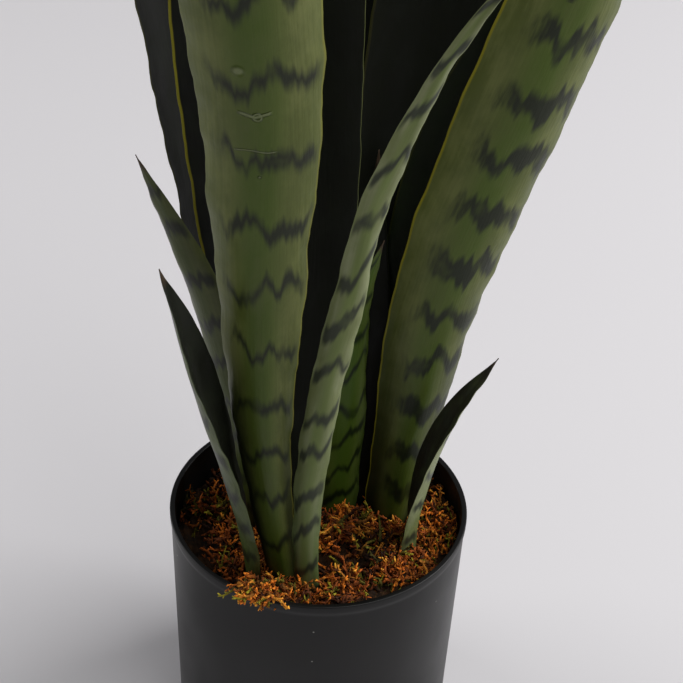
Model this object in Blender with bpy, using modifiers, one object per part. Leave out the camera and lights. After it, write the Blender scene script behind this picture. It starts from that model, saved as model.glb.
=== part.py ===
"""Potted snake plant: sixteen strap leaves standing in a moss-topped black pot.

Units are metres, +Z is up, and the origin is the centre of the pot's underside.
Run inside Blender 4.5; every rendered object becomes one solid.
"""

import bmesh
import bpy
import numpy as np

# ---- driving dimensions (metres) ----
POT_RIM_RADIUS = 0.080
POT_HEIGHT = 0.145
POT_TAPER = 0.020
POT_WALL = 0.0024
POT_FLOOR = 0.0030
RIM_LIP = 0.0006
RIM_BAND = 0.0040
SOIL_TOP = 0.110
MOSS_LEVEL = 0.129
GAP = 0.00035
LEAF_THICKNESS = 0.0022
LEAF_TIP_WIDTH = 0.0018
LEAF_LEAST_RADIUS = 0.0055
LEAF_STATIONS = 17
LEAF_COLUMNS = 5
POT_STEPS = 72
MOSS_SPOKES = 48
MOSS_RINGS = 12

# Each leaf: stations of the centreline of its outer face (mm), greatest width
# round the curve (mm), width at the foot and height of the greatest width as
# fractions, taper power of the tip, compass bearing of the outer face from foot
# to tip (degrees), and half the angle of the trough at foot, a third and tip.
LEAVES = {
    "leaf_front_left_tall": dict(
        line=[(-15, -45, 98), (-21, -48, 155), (-29, -52, 225), (-30, -60, 311),
              (-30, -80, 415), (-34, -98, 480), (-42, -126, 600), (-50, -146, 735)],
        width=66, foot=0.27, belly=0.72, tip=0.85,
        face=[-98, -92, -86, -84], trough=[78, 56, 40], colour=(0.060, 0.085, 0.032)),
    "leaf_front_centre_narrow": dict(
        line=[(-4, -55, 98), (-6, -57, 190), (1, -58, 262), (10, -59, 313),
              (20, -60, 365), (47, -68, 438), (78, -80, 490)],
        width=18, foot=0.80, belly=0.35, tip=1.0,
        face=[-108, -102, -90, -72, -75], trough=[58, 54, 50],
        colour=(0.105, 0.130, 0.070)),
    "leaf_centre_short": dict(
        line=[(10, 6, 98), (12, 3, 186), (16, -1, 262), (26, -5, 313)],
        width=29, foot=0.80, belly=0.30, tip=1.0,
        face=[-78, -68, -60], trough=[60, 45, 40], colour=(0.070, 0.110, 0.028)),
    "leaf_right_tall": dict(
        line=[(37, 2, 98), (45, -1, 183), (58, -7, 285), (85, -10, 385),
              (103, -10, 445), (130, -6, 550), (152, 0, 640)],
        width=60, foot=0.48, belly=0.55, tip=0.85,
        face=[-78, -78, -74, -70], trough=[64, 48, 38], colour=(0.068, 0.090, 0.030)),
    "leaf_right_short": dict(
        line=[(53, -17, 98), (53, -17, 145), (57, -17, 180), (66, -18, 215),
              (84, -24, 261)],
        width=32, foot=0.55, belly=0.40, tip=1.2,
        face=[-20, 0, 15], trough=[60, 54, 50], colour=(0.080, 0.105, 0.050)),
    "leaf_left_front_short": dict(
        line=[(-33, -47, 98), (-40, -52, 169), (-53, -60, 235), (-64, -68, 292),
              (-72, -75, 336)],
        width=41, foot=0.42, belly=0.56, tip=1.1,
        face=[202, 188, 165], trough=[58, 52, 45], colour=(0.050, 0.055, 0.026)),
    "leaf_left_mid": dict(
        line=[(-41, 1, 98), (-43, -2, 165), (-49, -6, 215), (-63, -13, 285),
              (-88, -20, 361)],
        width=39, foot=0.44, belly=0.48, tip=1.2,
        face=[-140, -132, -125], trough=[60, 50, 45], colour=(0.060, 0.070, 0.034)),
    "leaf_back_left_tall": dict(
        line=[(-42, 31, 98), (-51, 31, 200), (-65, 34, 300), (-82, 41, 400),
              (-104, 52, 540), (-124, 64, 655)],
        width=52, foot=0.38, belly=0.55, tip=0.85,
        face=[150, 144, 138], trough=[64, 48, 40], colour=(0.030, 0.040, 0.020)),
    "leaf_left_tall": dict(
        line=[(-26, 21, 98), (-34, 19, 200), (-45, 16, 310), (-53, 15, 420),
              (-56, 20, 540), (-52, 27, 650)],
        width=50, foot=0.36, belly=0.60, tip=0.85,
        face=[104, 98, 92], trough=[64, 46, 38], colour=(0.040, 0.052, 0.026)),
    "leaf_front_rear_tall": dict(
        line=[(-10, -29, 98), (-10, -29, 220), (-9, -28, 340), (-13, -27, 440),
              (-18, -22, 600), (-16, -18, 748)],
        width=56, foot=0.32, belly=0.62, tip=0.85,
        face=[92, 85, 80], trough=[66, 48, 38], colour=(0.036, 0.046, 0.024)),
    "leaf_back_centre_tall": dict(
        line=[(10, 39, 98), (19, 42, 210), (33, 42, 330), (43, 44, 415),
              (57, 52, 560), (66, 62, 728)],
        width=58, foot=0.34, belly=0.60, tip=0.85,
        face=[85, 80, 76], trough=[66, 46, 38], colour=(0.036, 0.048, 0.022)),
    "leaf_right_rear_mid": dict(
        line=[(42, 27, 98), (42, 25, 210), (45, 22, 290), (55, 18, 355),
              (77, 14, 420), (100, 15, 472)],
        width=36, foot=0.42, belly=0.50, tip=1.0,
        face=[62, 52, 45], trough=[60, 48, 44], colour=(0.044, 0.054, 0.028)),
    "leaf_centre_rear_short": dict(
        line=[(19, 20, 98), (20, 20, 190), (21, 21, 270), (22, 26, 345)],
        width=28, foot=0.55, belly=0.40, tip=1.0,
        face=[112, 102, 95], trough=[58, 48, 44], colour=(0.050, 0.044, 0.026)),
    "leaf_back_left_centre_tall": dict(
        line=[(-14, 40, 98), (-17, 45, 240), (-8, 57, 400), (0, 69, 560),
              (8, 79, 695)],
        width=56, foot=0.36, belly=0.60, tip=0.85,
        face=[100, 96, 90], trough=[66, 46, 38], colour=(0.040, 0.052, 0.026)),
    "leaf_back_right_short": dict(
        line=[(38, 48, 98), (41, 50, 190), (46, 56, 270), (52, 68, 336)],
        width=34, foot=0.48, belly=0.45, tip=1.1,
        face=[60, 62, 66], trough=[60, 48, 42], colour=(0.060, 0.085, 0.032)),
    "leaf_back_left_short": dict(
        line=[(-30, 50, 98), (-33, 54, 170), (-40, 63, 240), (-52, 78, 300)],
        width=32, foot=0.48, belly=0.45, tip=1.1,
        face=[120, 118, 115], trough=[60, 48, 42], colour=(0.060, 0.085, 0.032)),
}


def clear_scene():
    """Removes everything that the startup scene holds."""
    for obj in list(bpy.data.objects):
        bpy.data.objects.remove(obj, do_unlink=True)


def collection(name):
    """A new collection under the scene."""
    made = bpy.data.collections.new(name)
    bpy.context.scene.collection.children.link(made)
    return made


def material(name, colour, roughness, metallic=0.0):
    """A plain Principled material."""
    made = bpy.data.materials.new(name)
    made.use_nodes = True
    shader = made.node_tree.nodes["Principled BSDF"]
    shader.inputs["Base Color"].default_value = (*colour, 1.0)
    shader.inputs["Roughness"].default_value = roughness
    shader.inputs["Metallic"].default_value = metallic
    made.diffuse_color = (*colour, 1.0)
    return made


def mesh_object(name, points, faces, into, surface=None):
    """An object from point and face lists, linked into a collection."""
    mesh = bpy.data.meshes.new(name)
    mesh.from_pydata([tuple(p) for p in points], [], faces)
    mesh.update()
    obj = bpy.data.objects.new(name, mesh)
    into.objects.link(obj)
    if surface:
        mesh.materials.append(surface)
    return obj


def as_cutter(obj):
    """Keeps a helper out of the render and draws it as a wire."""
    obj.hide_render = True
    obj.display_type = "WIRE"
    return obj


def turned(name, profile, into, surface=None):
    """A solid of revolution about Z. The profile is (radius, height) pairs
    that start and end on the axis and run down the outer side."""
    points = [(r, 0.0, z) for r, z in profile]
    mesh = bpy.data.meshes.new(name)
    mesh.from_pydata(points, [(i, i + 1) for i in range(len(points) - 1)], [])
    obj = bpy.data.objects.new(name, mesh)
    into.objects.link(obj)
    if surface:
        mesh.materials.append(surface)
    screw = obj.modifiers.new("turn", "SCREW")
    screw.axis = "Z"
    screw.angle = 2 * np.pi
    screw.steps = POT_STEPS
    screw.render_steps = POT_STEPS
    screw.use_merge_vertices = True
    screw.merge_threshold = 0.00005
    screw.use_smooth_shade = False
    return obj


def subtract(obj, cutter):
    """Cuts one object by another with the exact solver."""
    boolean = obj.modifiers.new("cut " + cutter.name, "BOOLEAN")
    boolean.operation = "DIFFERENCE"
    boolean.solver = "EXACT"
    boolean.object = cutter


def outer_radius(z):
    """Radius of the pot's straight outer wall at a height."""
    return POT_RIM_RADIUS - RIM_LIP - POT_TAPER * (POT_HEIGHT - z)


def inner_radius(z):
    """Radius of the pot's inner wall at a height."""
    return outer_radius(z) - POT_WALL


def pot_profile(grow=0.0):
    """Pot wall from the inside of the floor, over the rim and down the outside."""
    top = POT_HEIGHT + grow
    lip = POT_RIM_RADIUS + grow
    band = POT_HEIGHT - RIM_BAND - grow
    return [
        (0.0, POT_FLOOR + grow),
        (inner_radius(POT_FLOOR) - grow, POT_FLOOR + grow),
        (inner_radius(POT_HEIGHT) - grow, top - 0.0008),
        (inner_radius(POT_HEIGHT) - grow + 0.0008, top),
        (lip - 0.0008, top),
        (lip, top - 0.0008),
        (lip, band + 0.0006),
        (outer_radius(band) + grow, band - 0.0006),
        (outer_radius(0.0) + grow, 0.0015 - grow),
        (outer_radius(0.0) - 0.0015 + grow, -grow),
        (0.0, -grow),
    ]


def moss_height(x, y):
    """Height of the moss: a level sheet that climbs to the rim at the front,
    sinks at the back left, and carries one mound and some soft lumps."""
    height = MOSS_LEVEL + 0.012 * np.clip((-y - 0.035) / 0.040, 0, 1) ** 1.5
    height = height - 0.006 * np.exp(-((x + 0.045) ** 2 + (y - 0.045) ** 2) / 0.0012)
    height = height + 0.009 * np.exp(-((x - 0.016) ** 2 + (y + 0.020) ** 2) / 0.0005)
    height = height + 0.005 * np.exp(-((x - 0.052) ** 2 + (y + 0.038) ** 2) / 0.0004)
    lumps = np.sin(210 * x + 1.3) * np.sin(190 * y + 0.4)
    lumps = lumps + 0.6 * np.sin(340 * x - 260 * y) * np.cos(150 * y)
    return height + 0.0014 * lumps


def moss_bed(name, into, surface=None, lift=0.0, grow=0.0):
    """A disc whose top follows moss_height and whose side follows the pot."""
    angle = np.linspace(0, 2 * np.pi, MOSS_SPOKES, endpoint=False)
    edge = inner_radius(MOSS_LEVEL) - GAP - 0.0003 + grow
    points = [(0.0, 0.0, float(moss_height(0.0, 0.0)) + lift)]
    for ring in range(1, MOSS_RINGS + 1):
        radius = edge * ring / MOSS_RINGS
        x = radius * np.cos(angle)
        y = radius * np.sin(angle)
        points += list(zip(x, y, moss_height(x, y) + lift))
    base = inner_radius(SOIL_TOP) - GAP - 0.0003 + grow
    floor = SOIL_TOP + GAP - grow
    points += [(base * np.cos(a), base * np.sin(a), floor) for a in angle]
    n = MOSS_SPOKES
    faces = [(0, 1 + k, 1 + (k + 1) % n) for k in range(n)]
    for ring in range(MOSS_RINGS):
        first = 1 + ring * n
        for k in range(n):
            j = (k + 1) % n
            faces.append((first + k, first + n + k, first + n + j, first + j))
    faces.append(tuple(reversed(range(1 + MOSS_RINGS * n, 1 + (MOSS_RINGS + 1) * n))))
    return mesh_object(name, points, faces, into, surface)


def smooth_line(stations, count):
    """Points and unit tangents, evenly spaced along a smooth curve through the
    stations: cubic pieces whose slopes are those of the neighbouring chords."""
    p = np.array(stations, float) / 1000
    t = np.concatenate([[0], np.cumsum(np.linalg.norm(np.diff(p, axis=0), axis=1))])
    slope = np.empty_like(p)
    slope[1:-1] = (p[2:] - p[:-2]) / (t[2:] - t[:-2])[:, None]
    slope[0] = 2 * (p[1] - p[0]) / (t[1] - t[0]) - slope[1]
    slope[-1] = 2 * (p[-1] - p[-2]) / (t[-1] - t[-2]) - slope[-2]

    def at(q):
        k = np.clip(np.searchsorted(t, q, side="right") - 1, 0, len(t) - 2)
        h = (t[k + 1] - t[k])[:, None]
        u = (q - t[k])[:, None] / h
        start = (2 * u**3 - 3 * u**2 + 1) * p[k] + (u**3 - 2 * u**2 + u) * h * slope[k]
        end = (3 * u**2 - 2 * u**3) * p[k + 1] + (u**3 - u**2) * h * slope[k + 1]
        return start + end

    fine = np.linspace(0, t[-1], 400)
    run = np.linalg.norm(np.diff(at(fine), axis=0), axis=1)
    run = np.concatenate([[0], np.cumsum(run)])
    q = np.interp(np.linspace(0, run[-1], count), run, fine)
    step = 0.004 * t[-1]
    tangent = at(np.clip(q + step, 0, t[-1])) - at(np.clip(q - step, 0, t[-1]))
    tangent /= np.linalg.norm(tangent, axis=1)[:, None]
    return at(q), tangent


def leaf_width(s, leaf):
    """Width round the curve: it swells from the foot to the belly along a
    quarter sine and runs to the point along a falling parabola."""
    rise = np.sin(np.pi / 2 * np.clip(s / leaf["belly"], 0, 1)) ** 1.2
    rest = np.clip((s - leaf["belly"]) / (1 - leaf["belly"]), 0, 1)
    span = leaf["foot"] + (1 - leaf["foot"]) * rise
    width = leaf["width"] / 1000 * span * (1 - rest**2) ** leaf["tip"]
    return np.maximum(width, LEAF_TIP_WIDTH)


def leaf_grid(leaf, rows, columns, extra=0.0):
    """Outer face of a leaf: a circular arc carried along the centreline."""
    s = np.linspace(0, 1, rows)
    centre, tangent = smooth_line(leaf["line"], rows)
    bearing = np.interp(s, np.linspace(0, 1, len(leaf["face"])), leaf["face"])
    bearing = np.radians(bearing)
    out = np.stack([np.cos(bearing), np.sin(bearing), 0 * s], 1)
    out -= tangent * np.sum(out * tangent, axis=1)[:, None]
    out /= np.linalg.norm(out, axis=1)[:, None]
    side = np.cross(tangent, out)
    width = leaf_width(s, leaf)
    half = np.radians(np.interp(s, [0, 0.35, 1], leaf["trough"]))
    half = np.minimum(half, width / 2 / LEAF_LEAST_RADIUS)
    radius = width / 2 / half
    half = half * (1 + 2 * extra / width)
    a = np.linspace(-1, 1, columns)[None, :] * half[:, None]
    r = radius[:, None]
    across = side[:, None, :] * (r * np.sin(a))[..., None]
    inward = out[:, None, :] * (r * (np.cos(a) - 1))[..., None]
    return centre[:, None, :] + across + inward


def leaf_sheet(name, grid, into, surface, thickness, offset):
    """A grid of points made a sheet of the given thickness, thinner at its
    two long edges."""
    rows, columns = grid.shape[:2]
    index = np.arange(rows * columns).reshape(rows, columns)
    faces = np.stack(
        [index[:-1, :-1], index[:-1, 1:], index[1:, 1:], index[1:, :-1]], -1
    ).reshape(-1, 4)
    obj = mesh_object(name, grid.reshape(-1, 3), faces.tolist(), into, surface)
    flesh = obj.vertex_groups.new(name="flesh")
    for column in range(columns):
        edge = abs(2 * column / (columns - 1) - 1)
        weight = 1.0 - 0.45 * edge**2
        flesh.add([int(i) for i in index[:, column]], weight, "REPLACE")
    solid = obj.modifiers.new("thickness", "SOLIDIFY")
    solid.thickness = thickness
    solid.offset = offset
    solid.use_even_offset = False
    solid.use_rim = True
    if offset < 0:
        solid.vertex_group = "flesh"
    return obj


def build_leaf(name, leaf, into):
    """One leaf as its own solid."""
    surface = material(name, leaf["colour"], 0.42)
    grid = leaf_grid(leaf, LEAF_STATIONS, LEAF_COLUMNS)
    return leaf_sheet(name, grid, into, surface, LEAF_THICKNESS, -1.0)


def build_socket(name, leaf, into):
    """The slot that a leaf's foot fills, a gap wider than the foot."""
    grid = leaf_grid(leaf, LEAF_STATIONS, LEAF_COLUMNS, extra=2 * GAP)
    low = np.count_nonzero(grid[:, LEAF_COLUMNS // 2, 2] < 0.165) + 1
    grid = grid[: max(low, 3)].copy()
    grid[0] += (grid[0] - grid[1]) * 0.03
    outward = grid[:, LEAF_COLUMNS // 2] - (grid[:, 0] + grid[:, -1]) / 2
    outward /= np.linalg.norm(outward, axis=1)[:, None]
    grid -= outward[:, None, :] * LEAF_THICKNESS / 2
    thickness = LEAF_THICKNESS + 2.6 * GAP
    slot = leaf_sheet("socket_" + name, grid, into, None, thickness, 0.0)
    return as_cutter(slot)


def build_rim_tuft(into, surface, pot_cutter, moss_cutter):
    """A lump of moss that spills over the front of the rim."""
    lump = bmesh.new()
    bmesh.ops.create_icosphere(lump, subdivisions=3, radius=1.0)
    mesh = bpy.data.meshes.new("moss_tuft_front_rim")
    lump.to_mesh(mesh)
    lump.free()
    count = len(mesh.vertices)
    p = np.empty(count * 3, np.float32)
    mesh.vertices.foreach_get("co", p)
    p = p.reshape(-1, 3).astype(float)
    knob = 1 + 0.10 * np.sin(5 * p[:, 0] + 1) * np.cos(6 * p[:, 1]) * np.sin(4 * p[:, 2])
    p *= knob[:, None]
    p = p * (0.0165, 0.0085, 0.0085)
    turn = np.radians(-112)
    out = np.array([np.cos(turn), np.sin(turn)])
    along = np.array([-out[1], out[0]])
    radial = 0.0790 + p[:, 1] - 9.0 * p[:, 0] ** 2
    flat = radial[:, None] * out + p[:, :1] * along
    p = np.column_stack([flat, POT_HEIGHT - 0.001 + p[:, 2]])
    mesh.vertices.foreach_set("co", p.astype(np.float32).ravel())
    mesh.materials.append(surface)
    obj = bpy.data.objects.new("moss_tuft_front_rim", mesh)
    into.objects.link(obj)
    subtract(obj, pot_cutter)
    subtract(obj, moss_cutter)
    return obj


def main():
    clear_scene()
    plant = collection("potted_snake_plant")
    cutters = collection("cutters")

    black = material("pot", (0.018, 0.018, 0.018), 0.38)
    earth = material("potting_soil", (0.035, 0.022, 0.014), 0.95)
    moss = material("moss_bed", (0.230, 0.095, 0.022), 0.95)
    tuft = material("moss_tuft_front_rim", (0.420, 0.160, 0.025), 0.95)

    turned("pot", pot_profile(), plant, black)
    soil_edge = GAP
    soil = turned(
        "potting_soil",
        [
            (0.0, SOIL_TOP),
            (inner_radius(SOIL_TOP) - soil_edge, SOIL_TOP),
            (inner_radius(POT_FLOOR) - soil_edge, POT_FLOOR + GAP),
            (0.0, POT_FLOOR + GAP),
        ],
        plant,
        earth,
    )
    bed = moss_bed("moss_bed", plant, moss)
    for name, leaf in LEAVES.items():
        build_leaf(name, leaf, plant)
        socket = build_socket(name, leaf, cutters)
        subtract(soil, socket)
        subtract(bed, socket)

    pot_cutter = as_cutter(turned("pot_clearance", pot_profile(GAP), cutters))
    moss_cutter = moss_bed("moss_clearance", cutters, lift=2 * GAP, grow=GAP)
    build_rim_tuft(plant, tuft, pot_cutter, as_cutter(moss_cutter))
    bpy.context.view_layer.update()


main()
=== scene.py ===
"""Potted snake plant: banded strap leaves, dried moss and a black pot."""

import bpy
import numpy as np
from mathutils import Matrix, Vector


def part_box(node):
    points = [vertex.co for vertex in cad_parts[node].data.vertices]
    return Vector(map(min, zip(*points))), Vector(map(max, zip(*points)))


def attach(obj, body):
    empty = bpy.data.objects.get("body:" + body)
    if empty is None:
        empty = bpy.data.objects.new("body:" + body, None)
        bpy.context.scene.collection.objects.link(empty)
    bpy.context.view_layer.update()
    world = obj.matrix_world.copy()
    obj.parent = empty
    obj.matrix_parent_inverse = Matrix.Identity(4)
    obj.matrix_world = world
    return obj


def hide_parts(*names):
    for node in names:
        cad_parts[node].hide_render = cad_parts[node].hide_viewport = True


bl_info = {
    "name": "Potted Snake Plant",
    "version": (1, 0, 0),
    "blender": (4, 5, 0),
    "location": "3D View > Sidebar > Snake Plant",
    "description": "Builds a snake plant in a moss-topped black pot",
    "category": "Add Mesh",
}

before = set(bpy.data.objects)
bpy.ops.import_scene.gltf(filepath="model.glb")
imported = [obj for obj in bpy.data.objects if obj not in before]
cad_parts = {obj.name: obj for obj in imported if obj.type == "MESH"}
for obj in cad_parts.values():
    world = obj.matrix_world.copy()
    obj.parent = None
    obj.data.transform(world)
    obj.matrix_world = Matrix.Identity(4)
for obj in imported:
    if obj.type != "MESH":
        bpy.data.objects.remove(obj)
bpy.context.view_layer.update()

RIM_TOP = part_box("pot")[1].z
RIM_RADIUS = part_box("pot")[1].x
MOSS_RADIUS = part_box("moss_bed")[1].x
MOSS_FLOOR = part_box("moss_bed")[0].z
MOSS_LEVEL = 0.129

# Each leaf's shape: stations of its outer face's centreline (mm), greatest width
# round the curve (mm), width at the foot and height of the greatest width as
# fractions, taper power of the tip, compass bearing of the outer face from foot
# to tip (degrees), and half the angle of the trough at foot, a third and tip.
# "look" names its colouring, "bands" holds the height of one band (mm), their
# spacing at the foot and higher up (mm), their slant and how heavy they are,
# "margins" the strength of the yellow margin on the clockwise and on the
# anticlockwise edge, and "shown" the stretch from edge (-1) to edge (1) where the
# bands show, which is the whole width where it isn't given.
LEAVES = {
    "leaf_front_left_tall": dict(
        line=[(-15, -45, 98), (-21, -48, 155), (-29, -52, 225), (-30, -60, 311),
              (-30, -80, 415), (-34, -98, 480), (-42, -126, 600), (-50, -146, 735)],
        width=66, foot=0.27, belly=0.72, tip=0.85,
        face=[-98, -92, -86, -84], trough=[78, 56, 40],
        look="olive", bands=(316, 25, 38, 0.0, 0.16),
        margins=(0.0, 0.35), shown=(-0.7, 1.1)),
    "leaf_front_centre_narrow": dict(
        line=[(-4, -55, 98), (-6, -57, 190), (1, -58, 262), (10, -59, 313),
              (20, -60, 365), (47, -68, 438), (78, -80, 490)],
        width=18, foot=0.80, belly=0.35, tip=1.0,
        face=[-108, -102, -90, -72, -75], trough=[58, 54, 50],
        look="pale", bands=(300, 20, 27, 0.35, 0.24), margins=(0.0, 0.0)),
    "leaf_centre_short": dict(
        line=[(10, 6, 98), (12, 3, 186), (16, -1, 262), (26, -5, 313)],
        width=29, foot=0.80, belly=0.30, tip=1.0,
        face=[-78, -68, -60], trough=[60, 45, 40],
        look="bright", bands=(186, 18, 22, 0.30, 0.20), margins=(0.0, 0.0)),
    "leaf_right_tall": dict(
        line=[(37, 2, 98), (45, -1, 183), (58, -7, 285), (85, -10, 385),
              (103, -10, 445), (130, -6, 550), (152, 0, 640)],
        width=60, foot=0.48, belly=0.55, tip=0.85,
        face=[-78, -78, -74, -70], trough=[64, 48, 38],
        look="olive", bands=(300, 27, 31, 0.0, 0.36),
        margins=(1.0, 0.0), shown=(-0.50, 1.1)),
    "leaf_right_short": dict(
        line=[(53, -17, 98), (53, -17, 145), (57, -17, 180), (66, -18, 215),
              (84, -24, 261)],
        width=32, foot=0.55, belly=0.40, tip=1.2,
        face=[-20, 0, 15], trough=[60, 54, 50],
        look="pale", bands=(190, 20, 24, 0.0, 0.20), margins=(0.0, 0.0)),
    "leaf_left_front_short": dict(
        line=[(-33, -47, 98), (-40, -52, 169), (-53, -60, 235), (-64, -68, 292),
              (-72, -75, 336)],
        width=41, foot=0.42, belly=0.56, tip=1.1,
        face=[202, 188, 165], trough=[58, 52, 45],
        look="shade", bands=(230, 20, 26, 0.0, 0.25), margins=(0.0, 0.0)),
    "leaf_left_mid": dict(
        line=[(-41, 1, 98), (-43, -2, 165), (-49, -6, 215), (-63, -13, 285),
              (-88, -20, 361)],
        width=39, foot=0.44, belly=0.48, tip=1.2,
        face=[-140, -132, -125], trough=[60, 50, 45],
        look="grey", bands=(240, 20, 26, 0.0, 0.22), margins=(0.0, 0.0)),
    "leaf_back_left_tall": dict(
        line=[(-42, 31, 98), (-51, 31, 200), (-65, 34, 300), (-82, 41, 400),
              (-104, 52, 540), (-124, 64, 655)],
        width=52, foot=0.38, belly=0.55, tip=0.85,
        face=[150, 144, 138], trough=[64, 48, 40],
        look="olive_in_painted_shade", bands=(280, 26, 36, 0.0, 0.25), margins=(0.0, 0.15)),
    "leaf_left_tall": dict(
        line=[(-26, 21, 98), (-34, 19, 200), (-45, 16, 310), (-53, 15, 420),
              (-56, 20, 540), (-52, 27, 650)],
        width=50, foot=0.36, belly=0.60, tip=0.85,
        face=[104, 98, 92], trough=[64, 46, 38],
        look="olive_in_painted_shade", bands=(300, 26, 34, 0.0, 0.25), margins=(0.3, 1.0)),
    "leaf_front_rear_tall": dict(
        line=[(-10, -29, 98), (-10, -29, 220), (-9, -28, 340), (-13, -27, 440),
              (-18, -22, 600), (-16, -18, 748)],
        width=56, foot=0.32, belly=0.62, tip=0.85,
        face=[92, 85, 80], trough=[66, 48, 38],
        look="olive", bands=(300, 26, 38, 0.0, 0.25), margins=(0.0, 0.0)),
    "leaf_back_centre_tall": dict(
        line=[(10, 39, 98), (19, 42, 210), (33, 42, 330), (43, 44, 415),
              (57, 52, 560), (66, 62, 728)],
        width=58, foot=0.34, belly=0.60, tip=0.85,
        face=[85, 80, 76], trough=[66, 46, 38],
        look="olive", bands=(310, 26, 37, 0.0, 0.25), margins=(0.1, 0.1)),
    "leaf_right_rear_mid": dict(
        line=[(42, 27, 98), (42, 25, 210), (45, 22, 290), (55, 18, 355),
              (77, 14, 420), (100, 15, 472)],
        width=36, foot=0.42, belly=0.50, tip=1.0,
        face=[62, 52, 45], trough=[60, 48, 44],
        look="bright", bands=(280, 22, 28, 0.0, 0.22), margins=(0.1, 0.1)),
    "leaf_centre_rear_short": dict(
        line=[(19, 20, 98), (20, 20, 190), (21, 21, 270), (22, 26, 345)],
        width=28, foot=0.55, belly=0.40, tip=1.0,
        face=[112, 102, 95], trough=[58, 48, 44],
        look="shade", bands=(230, 20, 25, 0.0, 0.22), margins=(0.0, 0.0)),
    "leaf_back_left_centre_tall": dict(
        line=[(-14, 40, 98), (-17, 45, 240), (-8, 57, 400), (0, 69, 560),
              (8, 79, 695)],
        width=56, foot=0.36, belly=0.60, tip=0.85,
        face=[100, 96, 90], trough=[66, 46, 38],
        look="olive", bands=(300, 26, 37, 0.0, 0.25), margins=(0.1, 0.1)),
    "leaf_back_right_short": dict(
        line=[(38, 48, 98), (41, 50, 190), (46, 56, 270), (52, 68, 336)],
        width=34, foot=0.48, belly=0.45, tip=1.1,
        face=[60, 62, 66], trough=[60, 48, 42],
        look="pale", bands=(220, 20, 25, 0.0, 0.22), margins=(0.0, 0.0)),
    "leaf_back_left_short": dict(
        line=[(-30, 50, 98), (-33, 54, 170), (-40, 63, 240), (-52, 78, 300)],
        width=32, foot=0.48, belly=0.45, tip=1.1,
        face=[120, 118, 115], trough=[60, 48, 42],
        look="bright", bands=(210, 20, 25, 0.0, 0.22), margins=(0.0, 0.0)),
}

# Leaf colourings in 8-bit sRGB: body, streaks, middle stripe, foot, bands and
# inner face. The foot colour paints shade at the foot and the inner colour is
# partly painted shade; the darker copy of "olive" that follows it and the
# "shade" colouring paint shade on the leaves that stand in it.
LOOKS = {
    "olive": dict(body=(76, 84, 36), streak=(98, 104, 56), middle=(62, 80, 16),
                  foot=(24, 29, 9), band=(22, 27, 15), inner=(17, 20, 8)),
    # A darker copy of the olive colouring: painted shade on leaves deep in the plant.
    "olive_in_painted_shade": dict(body=(66, 74, 32), streak=(86, 92, 48), middle=(54, 70, 16),
                 foot=(22, 27, 9), band=(20, 25, 14), inner=(8, 9, 4)),
    "pale": dict(body=(104, 112, 70), streak=(122, 128, 94), middle=(94, 108, 54),
                 foot=(72, 86, 46), band=(42, 47, 36), inner=(36, 33, 24)),
    "bright": dict(body=(68, 86, 26), streak=(84, 100, 40), middle=(60, 84, 16),
                   foot=(32, 50, 8), band=(16, 28, 8), inner=(20, 28, 7)),
    "grey": dict(body=(60, 66, 28), streak=(76, 82, 42), middle=(52, 62, 18),
                 foot=(30, 35, 14), band=(22, 26, 14), inner=(14, 17, 8)),
    "shade": dict(body=(56, 66, 28), streak=(74, 84, 44), middle=(46, 60, 16),
                  foot=(28, 34, 12), band=(20, 24, 12), inner=(12, 14, 6)),
}
WHOLE_WIDTH = (-2, 2)

# The blade's thickness (m) at heights from foot to tip, the width its point is
# left with, and the smallest radius that the trough is bent to.
BLADE_THICKNESS = ([0, 0.15, 0.6, 0.97, 1], [0.0034, 0.0027, 0.0022, 0.0014, 0.0007])
POINT_WIDTH = 0.0006
TIGHTEST_BEND = 0.0055

# Points along and across a tall leaf's outer face and a short one's.
TALL_LEAF_GRID = (220, 25)
SHORT_LEAF_GRID = (130, 19)
TALL_FROM = 400

MARGIN_YELLOW = (128, 122, 28)
MARK_PALE = (168, 172, 140)
TIP_BROWN = (64, 50, 34)
MOSS_DYES = ((196, 108, 30), (208, 134, 44), (150, 76, 24), (126, 116, 28),
             (86, 80, 22), (96, 48, 18), (50, 28, 14))
# Places in MOSS_DYES, from the brightest drift to the darkest, the darkest of
# which also paint the shade towards the left and the back.
DYE_ORDER = (1, 2, 0, 2, 0, 5, 3, 2, 6, 4)

# A sprig of moss: its stem's joints, its side shoots, and its least and greatest
# radius (m). The bed's sprigs stand in so many clumps.
STEM_JOINTS = 6
SHOOTS = 4
SPRIG_RADIUS = (0.00070, 0.00135)
CLUMPS = 120


def paint(sRGB):
    """Linear colour of an 8-bit sRGB one, with full alpha."""
    c = np.array(sRGB, float) / 255
    linear = np.where(c <= 0.04045, c / 12.92, ((c + 0.055) / 1.055) ** 2.4)
    return (*linear.tolist(), 1.0)


# ---------------------------------------------------------------- meshes


def put_mesh(name, points, faces):
    """A smooth object at the origin from a point array and an index array whose
    rows are faces of one size."""
    mesh = bpy.data.meshes.new(name)
    points = np.asarray(points, np.float32).reshape(-1, 3)
    faces = np.asarray(faces, np.int32)
    mesh.vertices.add(len(points))
    mesh.vertices.foreach_set("co", points.ravel())
    mesh.loops.add(faces.size)
    mesh.loops.foreach_set("vertex_index", faces.ravel())
    mesh.polygons.add(len(faces))
    mesh.polygons.foreach_set("loop_start", np.arange(0, faces.size, faces.shape[1]))
    mesh.polygons.foreach_set("use_smooth", np.ones(len(faces), bool))
    mesh.update(calc_edges=True)
    mesh.validate()
    obj = bpy.data.objects.new(name, mesh)
    bpy.context.scene.collection.objects.link(obj)
    return obj


def add_values(obj, name, values):
    """A float, vector or colour attribute with one value for each point."""
    values = np.asarray(values, np.float32)
    kinds = {1: ("FLOAT", "value"), 3: ("FLOAT_VECTOR", "vector"),
             4: ("FLOAT_COLOR", "color")}
    width = 1 if values.ndim == 1 else values.shape[1]
    kind, field = kinds[width]
    attribute = obj.data.attributes.new(name, kind, "POINT")
    attribute.data.foreach_set(field, values.ravel())


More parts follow.
